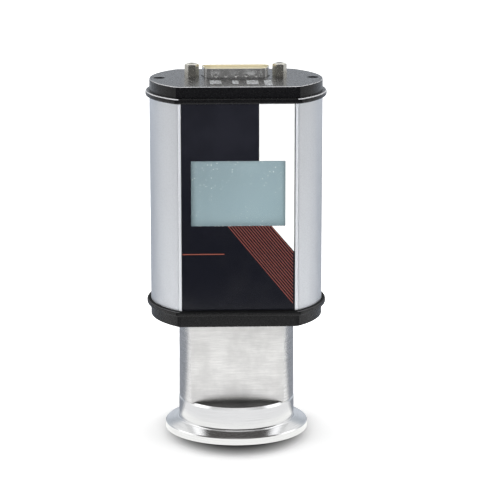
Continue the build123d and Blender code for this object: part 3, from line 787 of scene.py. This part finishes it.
class GAUGE_OT_caps(bpy.types.Operator):
    """Finishes both moulded caps and their screws"""

    bl_idname = "gauge.caps"
    bl_label = "Caps"

    def execute(self, context):
        base = finishes().cap_plastic
        made = Finish("moulded_cap_black", base, 0.26)
        made.set("Specular IOR Level", 0.30)
        tree = made.tree
        fine_grain, fleck_and_glint_tone, highlight_tone = 3.6, (0.55, 0.56, 0.58), (0.62, 0.62, 0.64)
        between_caps = (60.0 * MM, 120.0 * MM)
        grain = made.grain(1.0 / details().grain_size)
        fine = made.grain(fine_grain / details().grain_size)
        facing = axes(tree, made.normal)
        height = axes(tree, made.place)["Z"]
        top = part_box("top_cap")[1].z
        roof = ramp(tree, height, top - 2.0 * MM, top - 1.0 * MM)
        up = maths(tree, "MULTIPLY", ramp(tree, facing["Z"], 0.90, 0.99), roof)
        leaning, not_level = ramp(tree, facing["Z"], 0.35, 0.55), ramp(tree, facing["Z"], 0.95, 0.80)
        # Painted highlight: the caps' rounded edges lighter along the roof and at the side corners, weaker
        # on the lower cap
        sideways = ramp(tree, maths(tree, "ABSOLUTE", facing["X"]), 0.03, 0.30)
        upper_cap = ramp(tree, height, *between_caps, 0.12, 1.0)
        painted_highlight = maths(tree, "MAXIMUM", maths(tree, "MULTIPLY", sideways, upper_cap), roof)
        painted_highlight = maths(tree, "MULTIPLY", maths(tree, "MULTIPLY", leaning, not_level), painted_highlight)
        # Light flecks in the plastic everywhere, and painted glints: many more flecks on the roof's top
        # face
        fleck_and_glint_amount = maths(tree, "ADD", maths(tree, "MULTIPLY", up, 0.6), 0.02)
        tone = blend_colour(tree, maths(tree, "MULTIPLY", fine["Specks"], fleck_and_glint_amount), base, fleck_and_glint_tone)
        made.set("Base Color", blend_colour(tree, painted_highlight, tone, highlight_tone))
        lower_cap = ramp(tree, height, *between_caps, 0.85, 0.0)
        dull_ridge = maths(tree, "MULTIPLY", lower_cap, ramp(tree, facing["Z"], 0.10, 0.45))
        moulded = ramp(tree, grain["Height"], -0.4, 0.4, 0.34, 0.22)
        made.set("Roughness", maths(tree, "MAXIMUM", moulded, dull_ridge))
        coarse = maths(tree, "MULTIPLY", grain["Height"], maths(tree, "ADD", up, 0.01))
        made.bump(maths(tree, "ADD", coarse, maths(tree, "MULTIPLY", fine["Height"], 0.05)), 0.4 * MM)
        made.set("Coat Weight", maths(tree, "MULTIPLY", up, 0.40))
        made.set("Coat Roughness", 0.2)
        made.paint("top_cap", "bottom_cap")
        turned_metal("cap_screw_steel", (0.40, 0.40, 0.41), 0.3, 12000.0).paint(
            "top_cap_screws", "bottom_cap_screws", "sleeve_screws"
        )
        return {"FINISHED"}


class GAUGE_OT_cap_print(bpy.types.Operator):
    """Prints plain pale fields on the top cap in front of the plug"""

    bl_idname = "gauge.cap_print"
    bl_label = "Print on the cap"

    # Left, right, front and back of each field in millimetres
    FIELDS = (
        (-10.2, -5.9, -16.9, -7.9),
        (-1.8, 0.5, -17.0, -8.2),
        (3.5, 7.9, -17.8, -7.7),
        (10.1, 12.9, -21.0, -7.4),
    )
    CORNER_RADIUS = 0.7 * MM

    def execute(self, context):
        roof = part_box("top_cap")[1].z
        thick = details().print_height
        mesh = bmesh.new()
        for left, right, front, back in self.FIELDS:
            made = bmesh.ops.create_cube(mesh, size=1.0)["verts"]
            bmesh.ops.scale(mesh, verts=made, vec=((right - left) * MM, (back - front) * MM, thick))
            middle = (0.5 * (left + right) * MM, 0.5 * (front + back) * MM, roof + 0.5 * thick)
            bmesh.ops.translate(mesh, verts=made, vec=middle)
        upright = [e for e in mesh.edges if abs(e.verts[0].co.z - e.verts[1].co.z) > 0.5 * thick]
        bmesh.ops.bevel(
            mesh, geom=upright, offset=self.CORNER_RADIUS, segments=4, profile=0.5, affect="EDGES"
        )
        made = piece_from(mesh, "cap_print_fields", False)
        ink = Finish("print_ink_grey", (0.6, 0.6, 0.6), 0.35)
        height = ink.grain(1.6 / details().grain_size)["Height"]
        worn, whole = (0.05, 0.05, 0.05), (0.62, 0.64, 0.66)
        ink.set("Base Color", blend_colour(ink.tree, ramp(ink.tree, height, 0.0, 0.25), worn, whole))
        ink.bump(height, 0.1 * MM)
        ink.paint(made)
        return {"FINISHED"}


class GAUGE_OT_plug(bpy.types.Operator):
    """Builds the plug's round-tipped pins and finishes its shell, insulator and posts"""

    bl_idname = "gauge.plug"
    bl_label = "Plug"

    def execute(self, context):
        palette = finishes()
        self.pins(palette)
        self.shell(palette)
        self.posts(palette)
        plastic = speckled_plastic("insulator_plastic", (0.016, 0.016, 0.017), 0.5, 5000.0, 0.01 * MM)
        plastic.paint("dsub_insulator")
        return {"FINISHED"}

    @staticmethod
    def pins(palette):
        """Fifteen pins with round tips, in the places of the plain ones."""
        low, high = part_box("dsub_pins")
        size = details()
        r, tip = size.pin_radius, size.pin_tip
        long_row, short_row, tip_steps = 8, 7, 5
        mesh = bmesh.new()
        pitch = (high.x - low.x - 2.0 * r) / (long_row - 1)
        for count, y in ((long_row, high.y - r), (short_row, low.y + r)):
            start = -0.5 * pitch * (count - 1) + 0.5 * (low.x + high.x)
            for i in range(count):
                rows = [(0.0, low.z), (r, low.z), (r, high.z - tip)]
                for k in range(1, tip_steps):
                    a = 0.5 * math.pi * k / tip_steps
                    rows.append((r * math.cos(a), high.z - tip + tip * math.sin(a)))
                rows.append((0.0, high.z))
                lathe(mesh, (start + i * pitch, y), rows, size.pin_sides)
        made = piece_from(mesh, "plug_pins_rounded")
        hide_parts("dsub_pins")
        turned_metal("plug_pin_gold", palette.gold, 0.22, 15000.0).paint(made)

    @staticmethod
    def posts(palette):
        """Dull plating with a painted highlight on the posts' edges."""
        base = palette.post_metal
        made = Finish("post_plating", base, 0.2, 0.9)
        tree = made.tree
        haze = made.smudges(500.0)
        # Painted highlight: a near-white tone along the posts' edges
        edge_highlight = maths(tree, "MULTIPLY", effect(tree, "edge_wear", Width=0.25 * MM)["Mask"], 0.8)
        tone = blend_colour(tree, haze, base, scaled(base, 0.9))
        made.set("Base Color", blend_colour(tree, edge_highlight, tone, (0.92, 0.91, 0.88)))
        made.set("Roughness", ramp(tree, haze, 0.0, 1.0, 0.17, 0.26))
        made.paint("jack_posts", "jack_nuts")

    @staticmethod
    def shell(palette):
        """Bright plating outside, yellow plating on the rim and the inner faces."""
        made = Finish("shell_plating", palette.shell_metal, 0.2, 0.85)
        tree = made.tree
        low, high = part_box("dsub_shell")
        middle = 0.5 * (low.y + high.y)
        place = axes(tree, made.place)
        half = ramp(tree, place["Y"], middle - 1.0 * MM, middle + 1.0 * MM, 1.0, -1.0)
        inward = maths(tree, "MULTIPLY", axes(tree, made.normal)["Y"], half)
        inside = ramp(tree, inward, 0.2, 0.6)
        rim = ramp(tree, place["Z"], high.z - 0.6 * MM, high.z - 0.2 * MM)
        tint = maths(tree, "MAXIMUM", inside, rim)
        haze = made.smudges(260.0)
        tone = blend_colour(tree, haze, palette.shell_metal, scaled(palette.shell_metal, 0.85))
        made.set("Base Color", blend_colour(tree, tint, tone, palette.shell_inside))
        made.set("Metallic", ramp(tree, tint, 0.0, 1.0, 0.85, 0.1))
        made.set("Roughness", ramp(tree, haze, 0.0, 1.0, 0.13, 0.24))
        made.paint("dsub_shell")


class GAUGE_OT_electronics(bpy.types.Operator):
    """Finishes the boards and the parts on them"""

    bl_idname = "gauge.electronics"
    bl_label = "Electronics"

    def execute(self, context):
        base = finishes().board_green
        board = Finish("solder_mask_green", base, 0.35)
        tree = board.tree
        tracks = board.brushed((900.0, 900.0, 90.0), 0.08)
        board.set("Base Color", blend_colour(tree, tracks, base, scaled(base, 1.7)))
        board.set("Roughness", ramp(tree, tracks, 0.0, 1.0, 0.4, 0.3))
        board.paint("sensor_board", "display_board", "main_board", "connector_board")
        plastic = speckled_plastic("package_plastic_black", (0.02, 0.02, 0.022), 0.55, 7000.0, 0.008 * MM)
        plastic.paint("microcontroller", "voltage_regulator", "board_link")
        film = speckled_plastic("capacitor_film_blue", (0.03, 0.04, 0.10), 0.35, 3000.0, 0.004 * MM)
        film.paint("capacitors")
        return {"FINISHED"}


class GAUGE_PT_panel(bpy.types.Panel):
    """Lists the gauge's pieces and their sizes and colours"""

    bl_label = "Pirani vacuum gauge"
    bl_idname = "GAUGE_PT_panel"
    bl_space_type = "VIEW_3D"
    bl_region_type = "UI"
    bl_category = "Gauge"

    def draw(self, context):
        layout = self.layout
        for operator in OPERATORS:
            layout.operator(operator.bl_idname)
        for group, name in GROUPS:
            box = layout.box()
            for field in group.__annotations__:
                box.prop(getattr(context.scene, name), field)


GROUPS = (
    (GaugeFinishes, "gauge_finishes"),
    (GaugeDetails, "gauge_details"),
    (GaugeStudio, "gauge_studio"),
)
OPERATORS = (
    GAUGE_OT_studio,
    GAUGE_OT_flange,
    GAUGE_OT_sleeve,
    GAUGE_OT_sensor,
    GAUGE_OT_housing,
    GAUGE_OT_label,
    GAUGE_OT_display,
    GAUGE_OT_caps,
    GAUGE_OT_cap_print,
    GAUGE_OT_plug,
    GAUGE_OT_electronics,
)


def register():
    for group, name in GROUPS:
        bpy.utils.register_class(group)
        setattr(bpy.types.Scene, name, PointerProperty(type=group))
    for operator in OPERATORS:
        bpy.utils.register_class(operator)
    bpy.utils.register_class(GAUGE_PT_panel)


def unregister():
    bpy.utils.unregister_class(GAUGE_PT_panel)
    for operator in reversed(OPERATORS):
        bpy.utils.unregister_class(operator)
    for group, name in reversed(GROUPS):
        delattr(bpy.types.Scene, name)
        bpy.utils.unregister_class(group)


def main():
    register()
    for operator in OPERATORS:
        family, name = operator.bl_idname.split(".")
        getattr(getattr(bpy.ops, family), name)()


if __name__ == "__main__":
    main()
